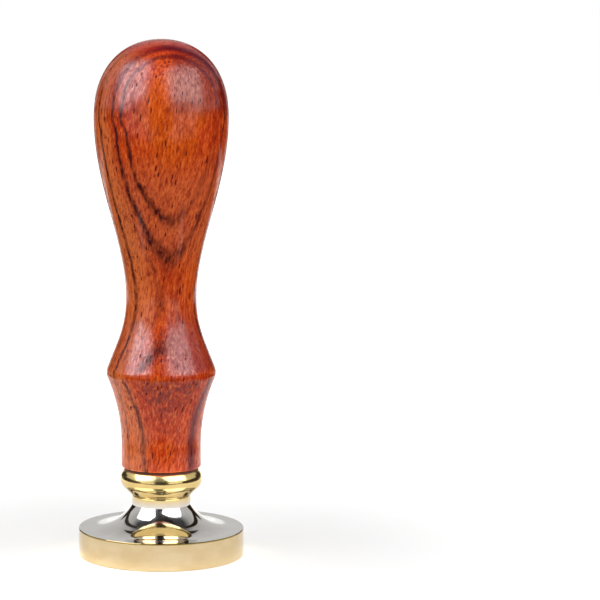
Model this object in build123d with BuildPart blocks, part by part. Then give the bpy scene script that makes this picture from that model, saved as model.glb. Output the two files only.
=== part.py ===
"""A wax seal stamp: an engraved brass head that screws onto a turned wooden handle.

The stamp stands on its die face. The origin is the middle of that face and +Z runs up the handle.
"""

import os
from math import ceil, cos, pi, radians, sin, tan

from build123d import *

# Stamp head, from the die face up
head_diameter = 30.0
disc_height = 5.0
rim_chamfer = 0.3
disc_shelf = 2.1  # flat ring on top of the disc, outside the flare
flare_height = 4.25
neck_diameter = 10.6
neck_height = 1.75
neck_fillet = 1.0
shoulder_height = 1.4
bead_diameter = 14.84
bead_crown = 0.67  # how far the bead's middle stands out past its two ends
bead_height = 3.2

# Engraved sun inside a plain ring
engraving_depth = 1.0
border_width = 1.5
ring_width = 0.6
ring_land = 1.1  # plain field between the ring and the longest rays
sun_diameter = 8.4
sun_land = 0.6  # plain ring between the sun's disc and its rays
ray_pairs = 8  # each pair is one straight and one wavy ray
ray_width = 1.5
wavy_shortening = 0.7
wave_height = 0.4

# Right-hand metric thread between the stud and the insert
thread_diameter = 6.0
thread_pitch = 1.0
thread_clearance = 0.08

# Stud, with a plain shank pressed into the head
shank_length = 8.0
stud_reach = 10.5  # from the top of the head to the stud's tip
stud_chamfer = 0.8
relief_length = 0.7  # plain neck between shank and thread
relief_depth = 0.15  # below the thread's root

# Washer between head and handle
washer_diameter = 13.4
washer_thickness = 0.5
washer_clearance = 0.3

# Insert glued into the handle
insert_diameter = 9.0
insert_length = 11.0
insert_recess = 0.2
insert_chamfer = 0.3

# Turned handle, with heights above its foot
handle_length = 76.95
foot_diameter = 14.4
foot_straight = 4.0
foot_rounding = 0.4
ridge_diameter = 20.16  # across the ridge before it is rounded
ridge_height = 17.2
ridge_rounding = 2.5
ridge_slope = 20.2  # degrees from the axis to the flank above the ridge
waist_diameter = 12.7
waist_height = 31.0
bulb_diameter = 24.1
bulb_height = 63.15
bore_spare = 1.0  # bore depth past the insert, before the drill point
drill_point_angle = 118.0

# How far each curve's handles reach along the height between its ends, from 0 to 1
flank_reach_low = 0.415
flank_reach_high = 0.42
body_reach_low = 0.31
body_reach_high = 0.38
crown_reach_side = 0.61
crown_reach_top = 0.6  # share of the bulb's radius

# Heights and radii that follow from the sizes above
head_radius = head_diameter / 2
neck_radius = neck_diameter / 2
flare_foot_radius = head_radius - disc_shelf
bead_radius = bead_diameter / 2
bead_end_radius = bead_radius - bead_crown
flare_top = disc_height + flare_height
neck_top = flare_top + neck_height
shoulder_top = neck_top + shoulder_height
head_top = shoulder_top + bead_height
foot_z = head_top + washer_thickness
insert_bottom = foot_z + insert_recess
insert_top = insert_bottom + insert_length
stud_tip = head_top + stud_reach
thread_start = head_top + relief_length

# ISO proportions of a 60 degree thread
flank_angle = radians(30)
thread_depth = 0.6134 * thread_pitch
crest_width = thread_pitch / 8
crest_radius = thread_diameter / 2
root_radius = crest_radius - thread_depth


def thread_form(growth):
    """A threaded rod that runs past both ends of the stud and insert, grown all over by growth.

    Each turn has four ruled faces between helices: the crest, a flank, the root and the other flank.
    """
    root = root_radius + growth
    crest = crest_radius + growth
    half_crest = crest_width / 2 + growth / cos(flank_angle) - growth * tan(flank_angle)
    half_root = half_crest + thread_depth * tan(flank_angle)
    rod_start = head_top - thread_pitch
    rod_end = max(insert_top, stud_tip) + thread_pitch
    turn_count = ceil((rod_end - rod_start) / thread_pitch)
    profile = [
        (crest, rod_start - half_crest),
        (crest, rod_start + half_crest),
        (root, rod_start + half_root),
        (root, rod_start + thread_pitch - half_root),
        (crest, rod_start + thread_pitch - half_crest),
    ]
    axis_low = (0, 0, profile[0][1])
    axis_high = (0, 0, profile[-1][1])
    helices = [Edge.make_helix(thread_pitch, thread_pitch, radius, (0, 0, z)) for radius, z in profile]
    one_turn = [Face.make_surface_from_curves(low, high) for low, high in zip(helices, helices[1:])]
    end_ramp = Face.make_surface_from_curves(Edge.make_line(axis_low, axis_high), helices[0])
    end_wall = Face(Wire.make_polygon([(radius, 0, z) for radius, z in profile] + [axis_high, axis_low]))
    end = [end_ramp, end_wall]
    turns = [Location((0, 0, turn * thread_pitch)) for turn in range(turn_count + 1)]
    faces = [face.moved(turn) for turn in turns[:-1] for face in one_turn]
    faces += end + [face.moved(turns[-1]) for face in end]
    return Solid(Shell(faces))


# Rays of the sun, drawn along +X
ray_start = sun_diameter / 2 + sun_land
ray_end = head_radius - border_width - ring_width - ring_land
with BuildSketch() as straight_ray:
    with BuildLine():
        Polyline((ray_start, -ray_width / 2), (ray_end, 0), (ray_start, ray_width / 2), close=True)
    make_face()

wavy_end = ray_end - wavy_shortening
wavy_steps = [step / 4 for step in range(4)]


def wavy_side(side):
    """Points along one side of the wavy ray, which narrows to its tip."""
    points = []
    for step in wavy_steps:
        middle = wave_height * sin(2 * pi * step)
        half_width = ray_width / 2 * (1 - step)
        points.append((ray_start + (wavy_end - ray_start) * step, middle + side * half_width))
    return points + [(wavy_end, 0)]


with BuildSketch() as wavy_ray:
    with BuildLine() as wavy_outline:
        Spline(*wavy_side(1))
        Spline(*wavy_side(-1))
        Line(wavy_side(1)[0], wavy_side(-1)[0])
    make_face()

with BuildSketch() as sun:
    Circle(head_radius - border_width)
    Circle(head_radius - border_width - ring_width, mode=Mode.SUBTRACT)
    Circle(sun_diameter / 2)
    with PolarLocations(0, ray_pairs):
        add(straight_ray.sketch)
    with PolarLocations(0, ray_pairs, start_angle=180 / ray_pairs):
        add(wavy_ray.sketch)

# Turned brass head with its die face and the bore for the stud
with BuildPart() as stamp_head:
    with BuildSketch(Plane.XZ):
        with BuildLine():
            Polyline(
                (0, head_top),
                (0, 0),
                (head_radius, 0),
                (head_radius, disc_height),
                (flare_foot_radius, disc_height),
            )
            TangentArc((flare_foot_radius, disc_height), (neck_radius, flare_top), tangent=(-1, 0))
            Polyline((neck_radius, flare_top), (neck_radius, neck_top), (bead_end_radius, shoulder_top))
            ThreePointArc(
                (bead_end_radius, shoulder_top),
                (bead_radius, shoulder_top + bead_height / 2),
                (bead_end_radius, head_top),
            )
            Line((bead_end_radius, head_top), (0, head_top))
        make_face()
    revolve(axis=Axis.Z)
    circles = stamp_head.edges().filter_by(GeomType.CIRCLE)
    rim_edges = [edge for edge in circles if abs(edge.radius - head_radius) < rim_chamfer / 10]
    chamfer(rim_edges, rim_chamfer)
    circles = stamp_head.edges().filter_by(GeomType.CIRCLE)
    fillet(circles.sort_by(lambda edge: abs(edge.arc_center.Z - neck_top))[0], neck_fillet)
    with Locations((0, 0, head_top)):
        Hole(crest_radius, depth=shank_length)
    extrude(sun.sketch, amount=engraving_depth, mode=Mode.SUBTRACT)
stamp_head.part.label = "stamp_head"

# Stud with its thread cut square above the relief and chamfered at the tip
with BuildPart() as head_stud:
    add(thread_form(0))
    with BuildSketch(Plane.XZ):
        with BuildLine():
            Polyline(
                (0, thread_start),
                (2 * crest_radius, thread_start),
                (2 * crest_radius, stud_tip - stud_chamfer - crest_radius),
                (crest_radius - stud_chamfer, stud_tip),
                (0, stud_tip),
                close=True,
            )
        make_face()
    revolve(axis=Axis.Z, mode=Mode.INTERSECT)
    with Locations((0, 0, thread_start)):
        Cylinder(root_radius - relief_depth, relief_length, align=(Align.CENTER, Align.CENTER, Align.MAX))
    with Locations((0, 0, head_top)):
        Cylinder(crest_radius, shank_length, align=(Align.CENTER, Align.CENTER, Align.MAX))
head_stud.part.label = "head_stud"

# Flat washer, clear of the stud's thread
with BuildPart() as seat_washer:
    with BuildSketch(Plane.XY.offset(head_top)):
        Circle(washer_diameter / 2)
        Circle(crest_radius + washer_clearance, mode=Mode.SUBTRACT)
    extrude(amount=washer_thickness)
seat_washer.part.label = "seat_washer"

# Insert with the matching thread inside and a tapered mouth
mouth_radius = crest_radius + thread_clearance + insert_chamfer
with BuildPart() as threaded_insert:
    with BuildSketch(Plane.XY.offset(insert_bottom)):
        Circle(insert_diameter / 2)
    extrude(amount=insert_length)
    add(thread_form(thread_clearance), mode=Mode.SUBTRACT)
    with BuildSketch(Plane.XY.offset(insert_bottom)):
        Circle(mouth_radius)
    extrude(amount=mouth_radius / 2, taper=45, mode=Mode.SUBTRACT)
threaded_insert.part.label = "threaded_insert"

# Turned handle with the blind bore for the insert
ridge_z = foot_z + ridge_height
waist_z = foot_z + waist_height
bulb_z = foot_z + bulb_height
handle_top = foot_z + handle_length
foot_radius = foot_diameter / 2
ridge_radius = ridge_diameter / 2
waist_radius = waist_diameter / 2
bulb_radius = bulb_diameter / 2
flank_rise = waist_z - ridge_z
body_rise = bulb_z - waist_z
flank_handle = flank_reach_low * flank_rise
bore_end = insert_top + bore_spare
drill_point = insert_diameter / 2 / tan(radians(drill_point_angle / 2))

with BuildPart() as wooden_handle:
    with BuildSketch(Plane.XZ):
        with BuildLine():
            Polyline(
                (0, handle_top),
                (0, foot_z),
                (foot_radius, foot_z),
                (foot_radius, foot_z + foot_straight),
            )
            TangentArc((foot_radius, foot_z + foot_straight), (ridge_radius, ridge_z), tangent=(0, 1))
            Bezier(
                (ridge_radius, ridge_z),
                (ridge_radius - flank_handle * tan(radians(ridge_slope)), ridge_z + flank_handle),
                (waist_radius, waist_z - flank_reach_high * flank_rise),
                (waist_radius, waist_z),
            )
            Bezier(
                (waist_radius, waist_z),
                (waist_radius, waist_z + body_reach_low * body_rise),
                (bulb_radius, bulb_z - body_reach_high * body_rise),
                (bulb_radius, bulb_z),
            )
            Bezier(
                (bulb_radius, bulb_z),
                (bulb_radius, bulb_z + crown_reach_side * (handle_top - bulb_z)),
                (crown_reach_top * bulb_radius, handle_top),
                (0, handle_top),
            )
        make_face()
    revolve(axis=Axis.Z)
    circles = wooden_handle.edges().filter_by(GeomType.CIRCLE)
    fillet(circles.sort_by(lambda edge: abs(edge.arc_center.Z - ridge_z))[0], ridge_rounding)
    circles = wooden_handle.edges().filter_by(GeomType.CIRCLE)
    fillet(circles.sort_by(Axis.Z)[0], foot_rounding)
    with BuildSketch(Plane.XZ):
        with BuildLine():
            Polyline(
                (0, foot_z),
                (insert_diameter / 2, foot_z),
                (insert_diameter / 2, bore_end),
                (0, bore_end + drill_point),
                close=True,
            )
        make_face()
    revolve(axis=Axis.Z, mode=Mode.SUBTRACT)
wooden_handle.part.label = "wooden_handle"

os.makedirs("parts", exist_ok=True)
export_step(stamp_head.part, "parts/stamp_head.step")
export_step(head_stud.part, "parts/head_stud.step")
export_step(seat_washer.part, "parts/seat_washer.step")
export_step(threaded_insert.part, "parts/threaded_insert.step")
export_step(wooden_handle.part, "parts/wooden_handle.step")
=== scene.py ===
from math import asin, atan2, cos, hypot, pi, radians, sin, tan

import bmesh
import bpy
import numpy as np
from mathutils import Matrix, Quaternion, Vector


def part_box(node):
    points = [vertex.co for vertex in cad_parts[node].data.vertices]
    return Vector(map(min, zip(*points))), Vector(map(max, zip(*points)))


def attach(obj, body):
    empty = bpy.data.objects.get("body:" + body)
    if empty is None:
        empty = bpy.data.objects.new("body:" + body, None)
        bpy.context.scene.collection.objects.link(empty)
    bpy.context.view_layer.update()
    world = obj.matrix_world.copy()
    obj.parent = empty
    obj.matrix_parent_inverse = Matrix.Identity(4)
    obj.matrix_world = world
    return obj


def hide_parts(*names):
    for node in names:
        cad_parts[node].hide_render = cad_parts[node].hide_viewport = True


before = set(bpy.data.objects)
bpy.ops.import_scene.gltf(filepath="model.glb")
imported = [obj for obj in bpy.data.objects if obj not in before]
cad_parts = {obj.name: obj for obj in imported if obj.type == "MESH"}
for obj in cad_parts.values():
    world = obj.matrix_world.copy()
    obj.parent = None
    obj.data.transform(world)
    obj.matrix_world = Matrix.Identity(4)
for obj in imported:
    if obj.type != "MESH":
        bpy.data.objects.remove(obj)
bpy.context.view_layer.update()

MM = 0.001
CREASE_ANGLE = radians(30)

# Heights and radii that the frame gives, in millimetres
head_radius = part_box("stamp_head")[1].x / MM
head_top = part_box("stamp_head")[1].z / MM
foot_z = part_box("wooden_handle")[0].z / MM
handle_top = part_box("wooden_handle")[1].z / MM
bulb_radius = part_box("wooden_handle")[1].x / MM
insert_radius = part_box("threaded_insert")[1].x / MM
insert_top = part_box("threaded_insert")[1].z / MM
stud_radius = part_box("head_stud")[1].x / MM
stud_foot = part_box("head_stud")[0].z / MM

# Stamp head
disc_height = 5.0
rim_rounding = 0.3
rim_chamfer = 0.1
# Height of the painted dark line under the rim's top edge, which stands in for a dark reflection there
rim_line_height = 0.3
disc_shelf = 2.1
flare_top = 9.25
neck_radius = 5.3
neck_top = 11.0
neck_fillet = 1.0
shoulder_top = 12.4
bead_crown = 0.67
bead_end_radius = 6.75

# Engraved sun
engraving_depth = 1.0
border_width = 1.5
ring_width = 0.6
ring_land = 1.1
sun_radius = 4.2
sun_land = 0.6
ray_pairs = 8
ray_width = 1.5
wavy_shortening = 0.7
wave_height = 0.4

# Turned handle, with heights above its foot
foot_radius = 7.2
foot_straight = 4.0
foot_rounding = 0.4
ridge_radius = 10.08
ridge_height = 17.2
ridge_rounding = 2.5
ridge_slope = radians(20.2)
waist_radius = 6.35
waist_height = 31.0
bulb_height = 63.15
bore_spare = 1.0
drill_point_angle = radians(118)
flank_reach = (0.415, 0.42)
body_reach = (0.31, 0.38)
crown_reach = (0.61, 0.6)

# Steps round and along the turned shapes, and the spacing of points beside a rounded corner
ROUND_SEGMENTS = 240
EDGE_STEPS = 8
CURVE_STEPS = 48
BEAD_STEPS = 32
NECK_STEPS = 200
NECK_ARC_STEPS = 10
NECK_SPACING = 0.06
RIDGE_STEPS = 600
RIDGE_ARC_STEPS = 40
RIDGE_SPACING = 0.25
SUN_SEGMENTS = 120
WAVE_STEPS = 16
ON_AXIS = 1e-6  # a smaller radius is a single point on the axis

# Camera, in millimetres from the middle of the die face
CAMERA_DISTANCE = 384.0
CAMERA_HEIGHT = 87.6
AIM_HEIGHT = 46.4
LENS = 128.8
SENSOR = 36.0
FRAME_SHIFT = 0.2313


def tangent_arc(start, end, tangent, steps):
    """Points on the arc from start to end that leaves start along tangent."""
    start, end = np.array(start, float), np.array(end, float)
    side = np.array((-tangent[1], tangent[0]), float)
    chord = end - start
    radius = chord @ chord / (2 * chord @ side)
    middle = start + radius * side
    first = atan2(*(start - middle)[::-1])
    turn = (atan2(*(end - middle)[::-1]) - first + pi) % (2 * pi) - pi
    angles = first + turn * np.linspace(0, 1, steps + 1)
    return [tuple(middle + abs(radius) * np.array((cos(a), sin(a)))) for a in angles]


def crowned(end_radius, crown, low, high, steps):
    """Points up a bead that stands out by crown in the middle of its height."""
    half = (high - low) / 2
    radius = (half * half + crown * crown) / (2 * crown)
    angles = asin(half / radius) * np.linspace(-1, 1, steps + 1)
    hub = end_radius + crown - radius
    return [(hub + radius * cos(a), (low + high) / 2 + radius * sin(a)) for a in angles]


def bezier(points, steps):
    """Points on a cubic curve with these four control points."""
    p = np.array(points, float)
    t = np.linspace(0, 1, steps + 1)[:, None]
    curve = (1 - t) ** 3 * p[0] + 3 * t * (1 - t) ** 2 * p[1]
    curve = curve + 3 * t * t * (1 - t) * p[2] + t ** 3 * p[3]
    return [tuple(q) for q in curve]


def round_corner(before, after, radius, steps):
    """Two lines of close points that meet in a corner, joined there by an arc of that radius."""
    before, after = np.array(before, float), np.array(after, float)
    into, out = before[-1] - before[-2], after[1] - after[0]
    side = np.sign(into[0] * out[1] - into[1] * out[0])

    def inset(points):
        along = np.gradient(points, axis=0)
        along /= np.linalg.norm(along, axis=1)[:, None]
        return points + side * radius * np.stack((-along[:, 1], along[:, 0]), axis=1)

    gaps = np.linalg.norm(inset(before)[:, None] - inset(after)[None], axis=2)
    i, j = np.unravel_index(gaps.argmin(), gaps.shape)
    middle = (inset(before)[i] + inset(after)[j]) / 2
    first = atan2(*(before[i] - middle)[::-1])
    turn = (atan2(*(after[j] - middle)[::-1]) - first + pi) % (2 * pi) - pi
    angles = first + turn * np.linspace(0, 1, steps + 1)
    arc = [middle + radius * np.array((cos(a), sin(a))) for a in angles]
    return [tuple(p) for p in (*before[:i], *arc, *after[j + 1:])]


def line(start, end, steps):
    """Evenly spaced points from start to end."""
    return [tuple(p) for p in np.linspace(start, end, steps + 1)]


def thinned(points, spacing):
    """The points without those that lie closer than spacing to the one kept before them."""
    kept = [points[0]]
    for p in points[1:-1]:
        if hypot(p[0] - kept[-1][0], p[1] - kept[-1][1]) >= spacing:
            kept.append(p)
    return kept + [points[-1]]


def circle(radius, segments):
    """Points round a circle about the axis."""
    angles = [2 * pi * i / segments for i in range(segments)]
    return [(radius * cos(a), radius * sin(a)) for a in angles]


def finish_mesh(mesh):
    """Smooth shading with sharp creases."""
    work = bmesh.new()
    work.from_mesh(mesh)
    for face in work.faces:
        face.smooth = True
    for edge in work.edges:
        edge.smooth = edge.calc_face_angle(0) < CREASE_ANGLE
    work.to_mesh(mesh)
    work.free()


def new_object(name, work):
    """An object from a bmesh drawn in millimetres."""
    mesh = bpy.data.meshes.new(name)
    bmesh.ops.scale(work, vec=(MM, MM, MM), verts=work.verts)
    work.to_mesh(mesh)
    work.free()
    piece = bpy.data.objects.new(name, mesh)
    bpy.context.scene.collection.objects.link(piece)
    return piece


def lathe(name, profile):
    """A turned solid from a profile of radius and height that starts and ends on the axis."""
    work = bmesh.new()
    rings = []
    for radius, height in profile:
        if radius < ON_AXIS:
            rings.append([work.verts.new((0, 0, height))] * ROUND_SEGMENTS)
            continue
        rings.append([work.verts.new((x, y, height)) for x, y in circle(radius, ROUND_SEGMENTS)])
    for low, high in zip(rings, rings[1:]):
        for i in range(ROUND_SEGMENTS):
            j = (i + 1) % ROUND_SEGMENTS
            corners = dict.fromkeys((low[i], low[j], high[j], high[i]))
            work.faces.new(list(corners))
    return new_object(name, work)


def head_profile():
    """The brass head, from the middle of the die face round to the bottom of the stud's bore."""
    flare_foot = head_radius - disc_shelf
    low_edge = tangent_arc((head_radius - rim_rounding, 0), (head_radius, rim_rounding), (1, 0), EDGE_STEPS)
    high_edge = [(head_radius, disc_height - rim_chamfer), (head_radius - rim_chamfer, disc_height)]
    disc = [(0, 0)] + low_edge + high_edge
    flare = tangent_arc((flare_foot, disc_height), (neck_radius, flare_top), (-1, 0), CURVE_STEPS)
    neck = line((neck_radius, flare_top), (neck_radius, neck_top), NECK_STEPS)
    shoulder = line((neck_radius, neck_top), (bead_end_radius, shoulder_top), NECK_STEPS)
    crease = thinned(round_corner(neck, shoulder, neck_fillet, NECK_ARC_STEPS), NECK_SPACING)
    bead = crowned(bead_end_radius, bead_crown, shoulder_top, head_top, BEAD_STEPS)
    bore = [(stud_radius, head_top), (stud_radius, stud_foot), (0, stud_foot)]
    return disc + flare + crease[1:-1] + bead + bore


def handle_profile():
    """The wooden handle, from the drill point of its bore round to the top of the bulb."""
    ridge_z = foot_z + ridge_height
    waist_z = foot_z + waist_height
    bulb_z = foot_z + bulb_height
    flank_rise = waist_z - ridge_z
    body_rise = bulb_z - waist_z
    crown_rise = handle_top - bulb_z
    bore_end = insert_top + bore_spare
    drill_point = insert_radius / tan(drill_point_angle / 2)
    bore = [(0, bore_end + drill_point), (insert_radius, bore_end), (insert_radius, foot_z)]
    foot_edge = (foot_radius - foot_rounding, foot_z)
    foot = tangent_arc(foot_edge, (foot_radius, foot_z + foot_rounding), (1, 0), EDGE_STEPS)
    cove = tangent_arc((foot_radius, foot_z + foot_straight), (ridge_radius, ridge_z), (0, 1), RIDGE_STEPS)
    flank_handle = flank_reach[0] * flank_rise
    flank = bezier(
        [
            (ridge_radius, ridge_z),
            (ridge_radius - flank_handle * tan(ridge_slope), ridge_z + flank_handle),
            (waist_radius, waist_z - flank_reach[1] * flank_rise),
            (waist_radius, waist_z),
        ],
        RIDGE_STEPS,
    )
    body = bezier(
        [
            (waist_radius, waist_z),
            (waist_radius, waist_z + body_reach[0] * body_rise),
            (bulb_radius, bulb_z - body_reach[1] * body_rise),
            (bulb_radius, bulb_z),
        ],
        CURVE_STEPS,
    )
    crown = bezier(
        [
            (bulb_radius, bulb_z),
            (bulb_radius, bulb_z + crown_reach[0] * crown_rise),
            (crown_reach[1] * bulb_radius, handle_top),
            (0, handle_top),
        ],
        CURVE_STEPS,
    )
    ridge = thinned(round_corner(cove, flank, ridge_rounding, RIDGE_ARC_STEPS), RIDGE_SPACING)
    return bore + foot + ridge + body[1:] + crown[1:]


def prism(work, outline, low, high):
    """A closed prism over an outline of x and y points."""
    bottom = [work.verts.new((x, y, low)) for x, y in outline]
    top = [work.verts.new((x, y, high)) for x, y in outline]
    work.faces.new(bottom[::-1])
    work.faces.new(top)
    for i in range(len(outline)):
        j = (i + 1) % len(outline)
        work.faces.new((bottom[i], bottom[j], top[j], top[i]))


def ring_prism(work, inner, outer, low, high):
    """A closed ring of square section."""
    loops = []
    for radius, height in ((inner, low), (outer, low), (outer, high), (inner, high)):
        loops.append([work.verts.new((x, y, height)) for x, y in circle(radius, ROUND_SEGMENTS)])
    for a, b in zip(loops, loops[1:] + loops[:1]):
        for i in range(ROUND_SEGMENTS):
            j = (i + 1) % ROUND_SEGMENTS
            work.faces.new((a[i], a[j], b[j], b[i]))


def turned(points, angle):
    """The points turned about the axis."""
    return [(x * cos(angle) - y * sin(angle), x * sin(angle) + y * cos(angle)) for x, y in points]


def sun_cutter():
    """What is cut out of the die face: a ring, a disc, and straight and wavy rays between them."""
    ring_outer = head_radius - border_width
    ring_inner = ring_outer - ring_width
    ray_start = sun_radius + sun_land
    ray_end = ring_inner - ring_land
    wavy_end = ray_end - wavy_shortening
    straight = [(ray_start, -ray_width / 2), (ray_end, 0), (ray_start, ray_width / 2)]

    def wavy_side(side):
        steps = np.linspace(0, 1, WAVE_STEPS + 1)[:-1]
        return [
            (
                ray_start + (wavy_end - ray_start) * s,
                wave_height * sin(2 * pi * s) + side * ray_width / 2 * (1 - s),
            )
            for s in steps
        ]

    wavy = wavy_side(-1) + [(wavy_end, 0)] + wavy_side(1)[::-1]
    work = bmesh.new()
    low, high = -engraving_depth, engraving_depth
    ring_prism(work, ring_inner, ring_outer, low, high)
    prism(work, circle(sun_radius, SUN_SEGMENTS), low, high)
    for i in range(ray_pairs):
        prism(work, turned(straight, 2 * pi * i / ray_pairs), low, high)
        prism(work, turned(wavy, 2 * pi * (i + 0.5) / ray_pairs), low, high)
    bmesh.ops.recalc_face_normals(work, faces=work.faces)
    return new_object("sun_cutter", work)


def cut(piece, cutter):
    """Takes the cutter out of the piece."""
    boolean = piece.modifiers.new("cut", "BOOLEAN")
    boolean.object = cutter
    boolean.solver = "EXACT"
    graph = bpy.context.evaluated_depsgraph_get()
    result = bpy.data.meshes.new_from_object(piece.evaluated_get(graph))
    piece.modifiers.clear()
    piece.data = result
    bpy.data.objects.remove(cutter)


def add_node(tree, kind, inputs=None, **settings):
    """A shader node with its settings, its linked inputs and its constant inputs."""
    node = tree.nodes.new(kind)
    for key, value in settings.items():
        setattr(node, key, value)
    for key, value in (inputs or {}).items():
        if isinstance(value, bpy.types.NodeSocket):
            tree.links.new(value, node.inputs[key])
        else:
            node.inputs[key].default_value = value
    return node


def maths(tree, operation, a, b=0.0, c=0.0):
    """The result of one sum on up to three sockets or numbers."""
    return add_node(tree, "ShaderNodeMath", {0: a, 1: b, 2: c}, operation=operation).outputs[0]


def product(tree, value, *factors):
    """The value times all the factors."""
    for factor in factors:
        value = maths(tree, "MULTIPLY", value, factor)
    return value


def between(tree, mask, start, end):
    """A level that goes evenly from start to end as the mask goes from 0 to 1."""
    return maths(tree, "MULTIPLY_ADD", mask, end - start, start)


def remap(tree, value, low, high, to_low=0.0, to_high=1.0):
    """A smooth ramp from to_low to to_high as the value goes from low to high."""
    inputs = {"Value": value, "From Min": low, "From Max": high, "To Min": to_low, "To Max": to_high}
    return add_node(tree, "ShaderNodeMapRange", inputs, interpolation_type="SMOOTHSTEP").outputs["Result"]


def zone(tree, place, start, end):
    """A mask that goes from 0 at start to 1 at end, both in millimetres along the place."""
    return remap(tree, place, start * MM, end * MM)


def blend(tree, factor, a, b, blend_type="MIX"):
    """Colour a where the factor is 0 and colour b where it is 1."""
    node = add_node(tree, "ShaderNodeMix", {0: factor, 6: a, 7: b}, data_type="RGBA", blend_type=blend_type)
    return node.outputs[2]


def scaled(tree, position, per_mm):
    """The position counted in waves, with so many to the millimetre along x, y and z."""
    inputs = {"Vector": position, "Scale": [part / MM for part in per_mm]}
    return add_node(tree, "ShaderNodeMapping", inputs).outputs[0]


def noise(tree, position, per_mm, detail=3.0, roughness=0.5):
    """Noise from 0 to 1 with so many waves to the millimetre along x, y and z."""
    waves = scaled(tree, position, per_mm)
    inputs = {"Vector": waves, "Scale": 1.0, "Detail": detail, "Roughness": roughness}
    return add_node(tree, "ShaderNodeTexNoise", inputs).outputs["Fac"]


def ramp(tree, factor, stops):
    """A colour ramp with stops of position and colour."""
    node = add_node(tree, "ShaderNodeValToRGB", {"Fac": factor})
    elements = node.color_ramp.elements
    elements.remove(elements[0])
    elements[0].position, elements[0].color = stops[0]
    for position, colour in stops[1:]:
        elements.new(position).color = colour
    return node.outputs["Color"]


def srgb(red, green, blue):
    """A colour given as 8 bit sRGB values."""
    channels = [v / 255 for v in (red, green, blue)]
    return (*[v / 12.92 if v <= 0.04045 else ((v + 0.055) / 1.055) ** 2.4 for v in channels], 1.0)


def new_material(name):
    """A material with its node tree, its shader and its position on the object."""
    material = bpy.data.materials.new(name)
    material.use_nodes = True
    tree = material.node_tree
    shader = tree.nodes["Principled BSDF"]
    position = add_node(tree, "ShaderNodeTexCoord").outputs["Object"]
    return material, tree, shader, position


def connect(tree, shader, **inputs):
    """Sets or links inputs of the shader by their names with spaces for underscores."""
    for key, value in inputs.items():
        socket = shader.inputs[key.replace("_", " ")]
        if isinstance(value, bpy.types.NodeSocket):
            tree.links.new(value, socket)
        else:
            socket.default_value = value


def bump(tree, height, distance, strength):
    """A normal tilted by a height, where the distance is how far a height of 1 stands up."""
    inputs = {"Height": height, "Distance": distance, "Strength": strength}
    return add_node(tree, "ShaderNodeBump", inputs).outputs["Normal"]


# Most of a noise lies between these levels
NOISE_LOW, NOISE_HIGH = 0.3, 0.7

# Growth rings: millimetres behind the axis, or in front if negative, width of the dark line and its darkness
FRONT_RINGS = [
    (-9.3, 0.75, 1.00),
    (-7.6, 0.95, 1.00),
    (-6.5, 0.35, 0.45),
    (-3.6, 0.90, 1.00),
    (-0.8, 0.40, 0.60),
]
BACK_RINGS = [(1.4, 0.60, 0.80), (3.9, 0.40, 0.70), (6.2, 0.50, 0.90), (8.6, 0.35, 0.70)]
FOOT_RINGS = [(-5.95, 0.85, 1.00), (-3.2, 0.50, 0.60), (1.4, 0.60, 0.80), (5.2, 0.50, 0.80)]
FLANK_RINGS = [(-8.35, 1.35, 0.80)]
FOOT_BANDS = [(-5.9, 2.00, 0.80), (3.0, 1.60, 0.60)]
CROWN_BANDS = [(-9.3, 0.90, 0.70), (-7.3, 2.20, 1.00), (-2.4, 1.20, 0.70), (2.4, 1.60, 0.90)]
RING_SPAN = 13.0  # the lists above reach no further than this in front of the axis and behind it
RING_TILT = (-0.2, 1.0, 0.0)
CROWN_STEP = 0.85  # millimetres that the rings shift backwards towards the crown

# Across one line: place in line widths and share of its darkness, sharp in front and fading behind
LINE_SHAPE = [(-0.5, 0.0), (-0.1, 1.0), (0.2, 1.0), (0.7, 0.0)]

# Wanders that bend the rings: waves to the millimetre along x, y and z, and reach in millimetres
RING_WANDERS = [
    ((0.05, 0.05, 0.02), 1.0),
    ((0.3, 0.3, 0.06), 0.8),
    ((1.6, 1.6, 0.4), 0.5),
    ((3.2, 3.2, 0.9), 0.4),
]

# Noises that follow the grain: waves to the millimetre along x, y and z, detail and roughness
GRAIN_LEAN = 0.12
GRAIN_NOISES = {
    "streaks": ((1.8, 1.8, 0.14), 5, 0.65),
    "mottle": ((2.6, 2.6, 0.8), 3, 0.7),
    "speckle": ((1.3, 1.3, 0.9), 4, 0.75),
    "broken": ((0.8, 0.8, 0.12), 2, 0.5),
    "ragged": ((2.4, 2.4, 0.5), 2, 0.5),
}
PATCH_WAVES = (0.11, 0.11, 0.05)

# Levels of a noise between which its mask goes from 0 to 1
PATCH_LEVELS = (0.35, 0.65)
SPECKLE_LEVELS = (0.38, 0.58)

# Heights in millimetres between which each mask on the handle goes from 0 to 1
HEIGHT_ZONES = {
    "below_ridge": (34.0, 32.0),
    "above_ridge": (31.0, 35.0),
    "flank_foot": (34.0, 35.0),
    "flank_top": (47.0, 41.0),
    "below_neck": (47.0, 42.0),
    "above_neck": (50.0, 58.0),
    "upper": (66.0, 76.0),
    "crown_step": (76.5, 79.0),
    "shaded": (78.0, 82.0),
    "crown": (80.0, 87.0),
    "top": (89.5, 91.5),
}

# The same across the handle, to the right of the axis
SIDE_ZONES = {
    "right": (-1.0, 5.0),
    "crown_right": (-4.0, 2.0),
    "right_of_middle": (0.5, 3.0),
    "left_of_middle": (-1.5, -4.0),
}
RIGHT_SHARE = 0.95  # of the shading beside the middle
LEFT_SHARE = 0.45
CROWN_SHARES = (0.3, 0.95)  # of the crown's bands, on the left and on the right
OUTER_SHARES = (0.2, 0.75)  # of the outer rings' tint, on the right and on the left

# The same through the rings, behind the axis
DEPTH_ZONES = {
    "heart": (-10.9, -11.8),
    "inner": (-8.2, -8.6),
    "foot_inside": (-7.1, -8.6),
    "eye": (-6.4, -7.0),
    "outer": (-7.4, -5.0),
}

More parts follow.
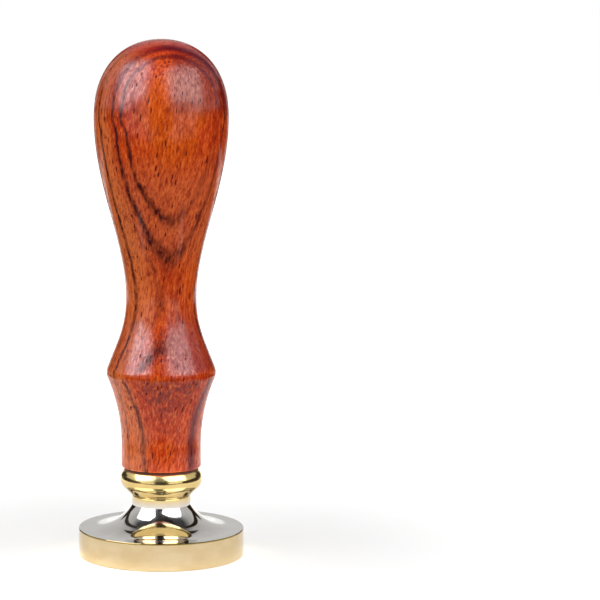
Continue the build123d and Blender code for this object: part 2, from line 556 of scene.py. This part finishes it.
# Tints of the wood: strength and colour
BODY_TINT = (0.70, srgb(190, 90, 54))
HEART_TINT = (0.85, srgb(196, 76, 0))
OUTER_TINT = (1.00, srgb(204, 110, 60))
FOOT_SHADOW_TINT = (0.75, srgb(104, 34, 28))
FOOT_BAND_TINT = (1.00, srgb(108, 34, 40))
FLANK_TINT = (0.60, srgb(126, 30, 30))
TOP_TINT = (0.65, srgb(164, 36, 36))
CROWN_TINT = (1.00, srgb(96, 6, 26))
LINE_TINT = (1.00, srgb(60, 14, 14))
PORE_TINT = (0.90, srgb(74, 16, 10))
GROUND_COLOURS = (srgb(178, 50, 8), srgb(202, 70, 0))
SHADE_FILTER = (0.52, 0.40, 0.8, 1)

# Tints that follow a noise: its name, the levels where the tint starts and is full, strength and colour
NOISE_TINTS = [
    ("streaks", 0.50, 0.70, 0.75, srgb(136, 34, 12)),
    ("streaks", 0.50, 0.30, 0.55, srgb(210, 92, 30)),
    ("mottle", 0.50, 0.64, 0.60, srgb(112, 26, 12)),
    ("mottle", 0.48, 0.34, 0.55, srgb(222, 112, 48)),
]

# Pores: dashes to the millimetre along x, y and z, and size as a share of their spacing
FINE_PORES = ((2.3, 2.3, 0.42), 0.34)
COARSE_PORES = ((1.6, 1.6, 0.36), 0.32)
FINE_STRENGTH = 0.5
EMPTY_SHARE = 0.2  # share of the places that hold no pore

# Lacquer over the wood
RELIEF = 0.05 * MM
MOTTLE_RELIEF = 0.6
COAT_ROUGHNESS = 0.15
COAT_IOR = 1.5


def ring_lines(tree, depth, rings):
    """How much of a dark ring line there is at each depth."""
    stops = [(0.0, (0, 0, 0, 1))]
    for place, width, dark in rings:
        for offset, share in LINE_SHAPE:
            position = (place + offset * width + RING_SPAN) / (2 * RING_SPAN)
            level = share * dark
            stops.append((position, (level, level, level, 1)))
    factor = maths(tree, "MULTIPLY_ADD", depth, 1 / (2 * RING_SPAN), 0.5)
    return ramp(tree, factor, stops)


def ring_depth(tree, position, crown_step):
    """Millimetres behind the axis, with a step under the crown and wanders that bend the rings."""
    inputs = {0: position, 1: [part / MM for part in RING_TILT]}
    tilted = add_node(tree, "ShaderNodeVectorMath", inputs, operation="DOT_PRODUCT").outputs["Value"]
    depth = maths(tree, "SUBTRACT", tilted, product(tree, crown_step, CROWN_STEP))
    for per_mm, reach in RING_WANDERS:
        wander = maths(tree, "MULTIPLY_ADD", noise(tree, position, per_mm), reach, -reach / 2)
        depth = maths(tree, "ADD", depth, wander)
    return depth


def pore_dashes(tree, position, per_mm, size):
    """Short dashes along the grain where the turned surface opens the wood's pores."""
    cells = add_node(tree, "ShaderNodeTexVoronoi", {"Vector": scaled(tree, position, per_mm), "Scale": 1.0})
    chosen = add_node(tree, "ShaderNodeSeparateColor", {"Color": cells.outputs["Color"]}).outputs["Red"]
    reach = remap(tree, chosen, EMPTY_SHARE, 1.0, 0.0, size)
    soft_edge = size / 3
    return remap(tree, maths(tree, "SUBTRACT", reach, cells.outputs["Distance"]), 0.0, soft_edge)


def wood_masks(tree, position, axes):
    """The zones of the handle by name, as masks from 0 to 1, and the depth among the rings."""
    masks = {name: zone(tree, axes["Z"], *ends) for name, ends in HEIGHT_ZONES.items()}
    masks.update({name: zone(tree, axes["X"], *ends) for name, ends in SIDE_ZONES.items()})
    depth = ring_depth(tree, position, masks["crown_step"])
    masks.update({name: remap(tree, depth, *ends) for name, ends in DEPTH_ZONES.items()})
    masks["flank"] = product(tree, masks["flank_foot"], masks["flank_top"])
    right_side = product(tree, masks["right_of_middle"], RIGHT_SHARE)
    left_side = product(tree, masks["left_of_middle"], LEFT_SHARE)
    masks["aside"] = maths(tree, "ADD", right_side, left_side)
    return masks, depth


def tinted(tree, colour, mask, tint):
    """The colour, with a tint over it where the mask is."""
    strength, tone = tint
    return blend(tree, product(tree, mask, strength), colour, tone)


def wood_ground(tree, position, masks, noises):
    """The wood's colour from its heart to its outer rings, with streaks and mottle."""
    patches = remap(tree, noise(tree, position, PATCH_WAVES, detail=2), *PATCH_LEVELS)
    body = product(tree, masks["above_neck"], between(tree, masks["upper"], 1, 0))
    heart = product(tree, masks["heart"], masks["upper"])
    outer = product(tree, masks["outer"], remap(tree, masks["right"], 1.0, 0.0, *OUTER_SHARES))
    colour = blend(tree, patches, *GROUND_COLOURS)
    for mask, tint in ((body, BODY_TINT), (heart, HEART_TINT), (outer, OUTER_TINT)):
        colour = tinted(tree, colour, mask, tint)
    for name, start, full, strength, tone in NOISE_TINTS:
        colour = blend(tree, remap(tree, noises[name], start, full, 0, strength), colour, tone)
    return colour


def wood_shading(tree, colour, masks, depth, noises):
    """The colour with the darker zones of bulb, foot, flank, top and crown."""
    shade = product(tree, masks["aside"], masks["shaded"])
    colour = blend(tree, shade, colour, SHADE_FILTER, "MULTIPLY")
    speckle = remap(tree, noises["speckle"], *SPECKLE_LEVELS)
    foot_shadow = product(tree, masks["foot_inside"], masks["below_ridge"], speckle)
    foot_band = product(tree, ring_lines(tree, depth, FOOT_BANDS), masks["right"], masks["below_ridge"])
    flank = product(tree, masks["flank"], masks["aside"])
    crown_side = between(tree, masks["crown_right"], *CROWN_SHARES)
    crown_band = product(tree, ring_lines(tree, depth, CROWN_BANDS), masks["crown"], crown_side)
    for mask, tint in (
        (foot_shadow, FOOT_SHADOW_TINT),
        (foot_band, FOOT_BAND_TINT),
        (flank, FLANK_TINT),
        (masks["top"], TOP_TINT),
        (crown_band, CROWN_TINT),
    ):
        colour = tinted(tree, colour, mask, tint)
    return colour


def wood_lines(tree, masks, depth, noises):
    """The dark ring lines, broken along the grain, weaker on the right, in the crown and below the neck."""
    inner = product(tree, masks["inner"], between(tree, masks["crown"], 1, 0))
    eye = product(tree, masks["below_neck"], masks["eye"])
    weaker = product(
        tree,
        maths(tree, "MULTIPLY_ADD", masks["right"], between(tree, inner, -0.2, -0.6), 1.0),
        between(tree, masks["crown"], 1, 0.5),
        between(tree, eye, 1, 0.25),
        masks["above_ridge"],
    )
    rings = maths(tree, "ADD", ring_lines(tree, depth, FRONT_RINGS), ring_lines(tree, depth, BACK_RINGS))
    foot_side = between(tree, masks["right"], 1, 0.5)
    flank_side = between(tree, masks["right"], 1, 0)
    lines = product(tree, rings, weaker)
    for more in (
        product(tree, ring_lines(tree, depth, FOOT_RINGS), masks["below_ridge"], foot_side),
        product(tree, ring_lines(tree, depth, FLANK_RINGS), masks["flank"], flank_side),
    ):
        lines = maths(tree, "ADD", lines, more)
    broken = remap(tree, noises["broken"], 0.3, 0.55, 0.6, 1.0)
    ragged = remap(tree, noises["ragged"], 0.36, 0.56, 0.55, 1.0)
    return product(tree, lines, product(tree, broken, ragged))


def rosewood():
    """Lacquered red-brown wood, flat sawn, with dark ring lines, streaks and open pores."""
    material, tree, shader, position = new_material("lacquered_wood")
    axes = add_node(tree, "ShaderNodeSeparateXYZ", {0: position}).outputs
    leaned = maths(tree, "MULTIPLY_ADD", axes["Z"], -GRAIN_LEAN, axes["X"])
    grain = add_node(tree, "ShaderNodeCombineXYZ", {"X": leaned, "Y": axes["Y"], "Z": axes["Z"]}).outputs[0]
    noises = {name: noise(tree, grain, *settings) for name, settings in GRAIN_NOISES.items()}
    masks, depth = wood_masks(tree, position, axes)

    fine = product(tree, pore_dashes(tree, grain, *FINE_PORES), FINE_STRENGTH)
    pores = maths(tree, "MAXIMUM", fine, pore_dashes(tree, grain, *COARSE_PORES))
    colour = wood_ground(tree, position, masks, noises)
    colour = wood_shading(tree, colour, masks, depth, noises)
    colour = tinted(tree, colour, wood_lines(tree, masks, depth, noises), LINE_TINT)
    colour = tinted(tree, colour, pores, PORE_TINT)

    thin_film = remap(tree, noises["mottle"], 0.36, 0.64, 1.0, 0.45)
    film = product(tree, thin_film, remap(tree, pores, 0.0, 1.0, 1.0, 0.3))
    relief = maths(tree, "MULTIPLY_ADD", pores, -1.0, product(tree, noises["mottle"], MOTTLE_RELIEF))
    connect(
        tree,
        shader,
        Base_Color=colour,
        Roughness=remap(tree, noises["streaks"], NOISE_LOW, NOISE_HIGH, 0.45, 0.6),
        Normal=bump(tree, relief, RELIEF, 0.5),
        Specular_IOR_Level=0.0,
        Coat_Weight=film,
        Coat_Roughness=COAT_ROUGHNESS,
        Coat_IOR=COAT_IOR,
        Coat_Normal=bump(tree, relief, RELIEF, 0.4),
    )
    return material


# Brass: each tone's darkest and lightest colour, and heights in millimetres where the tones meet; the pale
# grey tone and the rim's dark line are painted reflections
GOLD = ((0.68, 0.515, 0.285, 1), (0.74, 0.585, 0.355, 1))
DEEP_GOLD = ((0.78, 0.56, 0.20, 1), (0.84, 0.63, 0.27, 1))
# Pale grey over the gold on the disc's top, the flare and the neck: a painted reflection colour
PAINTED_GREY_REFLECTION = ((0.76, 0.72, 0.67, 1), (0.82, 0.79, 0.75, 1))
# Painted dark reflection: the colour of a dark line along the top of the rim's side
PAINTED_RIM_REFLECTION = (0.36, 0.25, 0.07, 1)
TONE_EDGE = disc_height - 0.02
GREY_REFLECTION_START = (TONE_EDGE, disc_height)
GREY_REFLECTION_END = (neck_top, flare_top - 0.5)
RIM_LINE_START = (disc_height - rim_line_height, disc_height - rim_line_height + 0.06)
RIM_LINE_END = (TONE_EDGE, TONE_EDGE - 0.01)
BEAD_BLUR = 0.07  # roughness added on the bead


def turned_brass():
    """Polished brass with faint turning lines, pale on the disc's top and the flare, where the pale grey is
    a painted reflection, and with a painted dark reflection line along the rim's top edge.
    """
    material, tree, shader, position = new_material("polished_brass")
    clouds = noise(tree, position, (0.25, 0.25, 0.4), detail=4)
    scratches = noise(tree, position, (0.5, 0.5, 9.0), detail=2)
    height = add_node(tree, "ShaderNodeSeparateXYZ", {0: position}).outputs["Z"]
    cloudy = remap(tree, clouds, NOISE_LOW, NOISE_HIGH)
    upper = zone(tree, height, flare_top, neck_top)
    # Where the painted grey reflection tone lies
    pale = product(tree, zone(tree, height, *GREY_REFLECTION_START), zone(tree, height, *GREY_REFLECTION_END))
    # Where the painted dark reflection line lies, along the top of the rim
    rim_reflection_mask = product(tree, zone(tree, height, *RIM_LINE_START), zone(tree, height, *RIM_LINE_END))
    colour = blend(tree, upper, blend(tree, cloudy, *GOLD), blend(tree, cloudy, *DEEP_GOLD))
    colour = blend(tree, pale, colour, blend(tree, cloudy, *PAINTED_GREY_REFLECTION))
    colour = blend(tree, rim_reflection_mask, colour, PAINTED_RIM_REFLECTION)
    blur = product(tree, zone(tree, height, neck_top, shoulder_top), BEAD_BLUR)
    connect(
        tree,
        shader,
        Base_Color=colour,
        Metallic=1.0,
        Roughness=maths(tree, "ADD", remap(tree, clouds, NOISE_LOW, NOISE_HIGH, 0.04, 0.09), blur),
        Normal=bump(tree, scratches, 0.004 * MM, 0.3),
    )
    return material


def machined_metal(name, dark, light):
    """Plain turned metal with fine tool marks."""
    material, tree, shader, position = new_material(name)
    marks = noise(tree, position, (0.6, 0.6, 6.0), detail=3)
    connect(
        tree,
        shader,
        Base_Color=blend(tree, remap(tree, marks, NOISE_LOW, NOISE_HIGH), dark, light),
        Metallic=1.0,
        Roughness=remap(tree, marks, NOISE_LOW, NOISE_HIGH, 0.25, 0.4),
        Normal=bump(tree, marks, 0.01 * MM, 0.4),
    )
    return material


def washer_rubber():
    """Dark matt rubber with a dusty grain."""
    material, tree, shader, position = new_material("matt_rubber")
    grain = noise(tree, position, (3.0, 3.0, 3.0), detail=4)
    dusty = remap(tree, grain, NOISE_LOW, NOISE_HIGH)
    connect(
        tree,
        shader,
        Base_Color=blend(tree, dusty, srgb(66, 34, 18), srgb(92, 50, 26)),
        Specular_IOR_Level=0.1,
        Roughness=remap(tree, grain, NOISE_LOW, NOISE_HIGH, 0.65, 0.85),
        Normal=bump(tree, grain, 0.02 * MM, 0.4),
    )
    return material


def dress(piece, material, body, node):
    """Gives a piece its material and puts it in the place of its CAD node."""
    finish_mesh(piece.data)
    piece.data.materials.clear()
    piece.data.materials.append(material)
    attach(piece, body)
    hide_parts(node)


head = lathe("brass_head", head_profile())
cut(head, sun_cutter())
dress(head, turned_brass(), "head", "stamp_head")
handle = lathe("turned_handle", handle_profile())
dress(handle, rosewood(), "handle", "wooden_handle")

CARRIED_OVER = {
    "head_stud": machined_metal("turned_steel", (0.42, 0.42, 0.43, 1), (0.62, 0.62, 0.63, 1)),
    "threaded_insert": machined_metal("machined_brass", (0.60, 0.44, 0.20, 1), (0.78, 0.62, 0.34, 1)),
    "seat_washer": washer_rubber(),
}
for name, material in CARRIED_OVER.items():
    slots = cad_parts[name].data.materials
    slots.clear()
    slots.append(material)

# Studio, in metres and degrees
FLOOR_SIZE = 12.0
FLOOR_GREY = (0.5, 0.5, 0.5, 1)
GLOW_SPAN = (0.03, 0.15)  # distances from the stamp between which the floor goes to white
GLOW_LEVELS = (0.46, 1.0)
MIDDLE = Vector((0, 0, 0.08))
PANEL_DISTANCE = 0.5
PANEL_RADIANCE = 2.55
SHINE_RADIANCE = 40.0
SHINE_COLOUR = (0.86, 1.0, 1.2)

# Soft panels: azimuth from the front, elevation, roll, and width and height
PANELS = {"left": (-65, 40, 29, (0.47, 0.53)), "right": (50, 37.5, -10, (0.57, 0.46))}

# Dark cards that only the gloss sees
CARD_COLOUR = (0.026, 0.017, 0.010, 1)
CARD_ROUGHNESS = 0.9
CARD_DISTANCE = 0.5
CARD_CLEARANCE = 0.001  # of the cards that lie on the floor

# Upright cards: azimuth from the front, width, and lowest and highest edge
FRONT_CARD = (0, 0.36, 0.0, 0.9)
SIDE_CARDS = {
    "back_{}_card": (141, 0.075, 0.07, 0.75),
    "low_{}_card": (137, 0.32, 0.0, 0.2),
    "{}_card": (95, 0.70, 0.0, 0.12),
}

# Small upright flags behind the bulb, then flat cards: width, length and place of the middle
FLAG = (0.016, 0.06, (0.021, 0.05, 0.086))
SIDE_FLOOR_CARD = (0.40, 0.60, (0.29, -0.05, CARD_CLEARANCE))
TOP_CARD = (0.40, 0.60, (0, -0.10, 0.6))
FRONT_FLOOR_CARD = (0.18, 0.40, (0, -0.27, CARD_CLEARANCE))

# Brightness of the studio by the upward part of the direction
WORLD_LEVELS = [(0.0, 1.0), (0.12, 1.0), (0.17, 0.62), (0.5, 0.55), (0.72, 0.4), (0.84, 0.04)]


def toward(azimuth, elevation):
    """The direction at an azimuth from the front and an elevation, both in degrees."""
    a, e = radians(azimuth), radians(elevation)
    return Vector((sin(a) * cos(e), -cos(a) * cos(e), sin(e)))


def add_panel(name, azimuth, elevation, roll, size, radiance):
    """A soft panel that faces the stamp, turned about the line between them by its roll."""
    lamp = bpy.data.lights.new(name, "AREA")
    lamp.shape = "RECTANGLE"
    lamp.size, lamp.size_y = size
    lamp.energy = radiance * size[0] * size[1] * pi
    holder = bpy.data.objects.new(name, lamp)
    away = toward(azimuth, elevation)
    holder.location = MIDDLE + PANEL_DISTANCE * away
    holder.rotation_mode = "QUATERNION"
    holder.rotation_quaternion = away.to_track_quat("Z", "Y") @ Quaternion((0, 0, 1), radians(roll))
    holder.visible_camera = False
    bpy.context.scene.collection.objects.link(holder)
    return holder


for name, place in PANELS.items():
    add_panel(name + "_panel", *place, PANEL_RADIANCE)
    shine = add_panel(name + "_shine", *place, SHINE_RADIANCE)
    shine.data.color = SHINE_COLOUR
    shine.visible_diffuse = False


def plane(name, width, length):
    """A flat rectangle that belongs to the studio."""
    work = bmesh.new()
    bmesh.ops.create_grid(work, x_segments=1, y_segments=1, size=0.5)
    bmesh.ops.scale(work, vec=(width, length, 1), verts=work.verts)
    mesh = bpy.data.meshes.new(name)
    work.to_mesh(mesh)
    work.free()
    sheet = bpy.data.objects.new(name, mesh)
    bpy.context.scene.collection.objects.link(sheet)
    return sheet


def add_floor():
    """A pale floor with the stamp's soft shadow, white further away and clear from below."""
    ground = plane("floor", FLOOR_SIZE, FLOOR_SIZE)
    material, tree, shader, position = new_material("floor_white")
    paths = add_node(tree, "ShaderNodeLightPath").outputs
    seen = maths(tree, "ADD", paths["Is Camera Ray"], paths["Is Glossy Ray"])
    seen = maths(tree, "ADD", seen, paths["Is Transmission Ray"])
    away = add_node(tree, "ShaderNodeVectorMath", {0: position}, operation="LENGTH").outputs["Value"]
    connect(
        tree,
        shader,
        Base_Color=FLOOR_GREY,
        Roughness=1.0,
        Specular_IOR_Level=0.0,
        Emission_Color=(1, 1, 1, 1),
        Emission_Strength=product(tree, seen, remap(tree, away, *GLOW_SPAN, *GLOW_LEVELS)),
    )
    below = add_node(tree, "ShaderNodeNewGeometry").outputs["Backfacing"]
    clear = add_node(tree, "ShaderNodeBsdfTransparent").outputs[0]
    sided = add_node(tree, "ShaderNodeMixShader", {0: below, 1: shader.outputs[0], 2: clear})
    tree.links.new(sided.outputs[0], tree.nodes["Material Output"].inputs["Surface"])
    ground.data.materials.append(material)


add_floor()


def card_material():
    """Matt dark brown card."""
    material, tree, shader, _ = new_material("card_black")
    connect(tree, shader, Base_Color=CARD_COLOUR, Specular_IOR_Level=0.0, Roughness=CARD_ROUGHNESS)
    return material


card_black = card_material()


def add_card(name, width, length, place, turn=(0, 0, 0)):
    """A dark card for the gloss to reflect, which shows only in reflections."""
    card = plane(name, width, length)
    card.location = place
    card.rotation_euler = turn
    card.visible_camera = False
    card.visible_diffuse = False
    card.visible_shadow = False
    card.data.materials.append(card_black)


def add_upright_card(name, azimuth, width, low, high):
    """A dark card that stands round the stamp and faces it."""
    a = radians(azimuth)
    place = (CARD_DISTANCE * sin(a), -CARD_DISTANCE * cos(a), (low + high) / 2)
    add_card(name, width, high - low, place, (pi / 2, 0, a))


def mirrored(place, sign):
    """The place, on the left if the sign is -1."""
    return (sign * place[0], *place[1:])


add_upright_card("front_card", *FRONT_CARD)
for side, sign in (("left", -1), ("right", 1)):
    for pattern, (azimuth, *edges) in SIDE_CARDS.items():
        add_upright_card(pattern.format(side), sign * azimuth, *edges)
    add_card(side + "_flag", *FLAG[:2], mirrored(FLAG[2], sign), (pi / 2, 0, 0))
    add_card(side + "_floor_card", *SIDE_FLOOR_CARD[:2], mirrored(SIDE_FLOOR_CARD[2], sign))
add_card("top_card", *TOP_CARD)
add_card("front_floor_card", *FRONT_FLOOR_CARD)


def studio_world():
    """A white horizon under a grey studio that darkens towards the top."""
    world = bpy.data.worlds.new("studio")
    bpy.context.scene.world = world
    world.use_nodes = True
    tree = world.node_tree
    direction = add_node(tree, "ShaderNodeTexCoord").outputs["Generated"]
    rise = add_node(tree, "ShaderNodeSeparateXYZ", {0: direction}).outputs["Z"]
    colour = ramp(tree, rise, [(position, (v, v, v, 1)) for position, v in WORLD_LEVELS])
    tree.links.new(colour, tree.nodes["Background"].inputs["Color"])


studio_world()

camera = bpy.data.objects.new("camera", bpy.data.cameras.new("camera"))
bpy.context.scene.collection.objects.link(camera)
camera.data.lens = LENS
camera.data.sensor_width = SENSOR
camera.data.shift_x = FRAME_SHIFT
camera.location = (0, -CAMERA_DISTANCE * MM, CAMERA_HEIGHT * MM)
aim = Vector((0, 0, AIM_HEIGHT * MM)) - camera.location
camera.rotation_euler = aim.to_track_quat("-Z", "Y").to_euler()
bpy.context.scene.camera = camera
bpy.context.scene.view_settings.view_transform = "Standard"
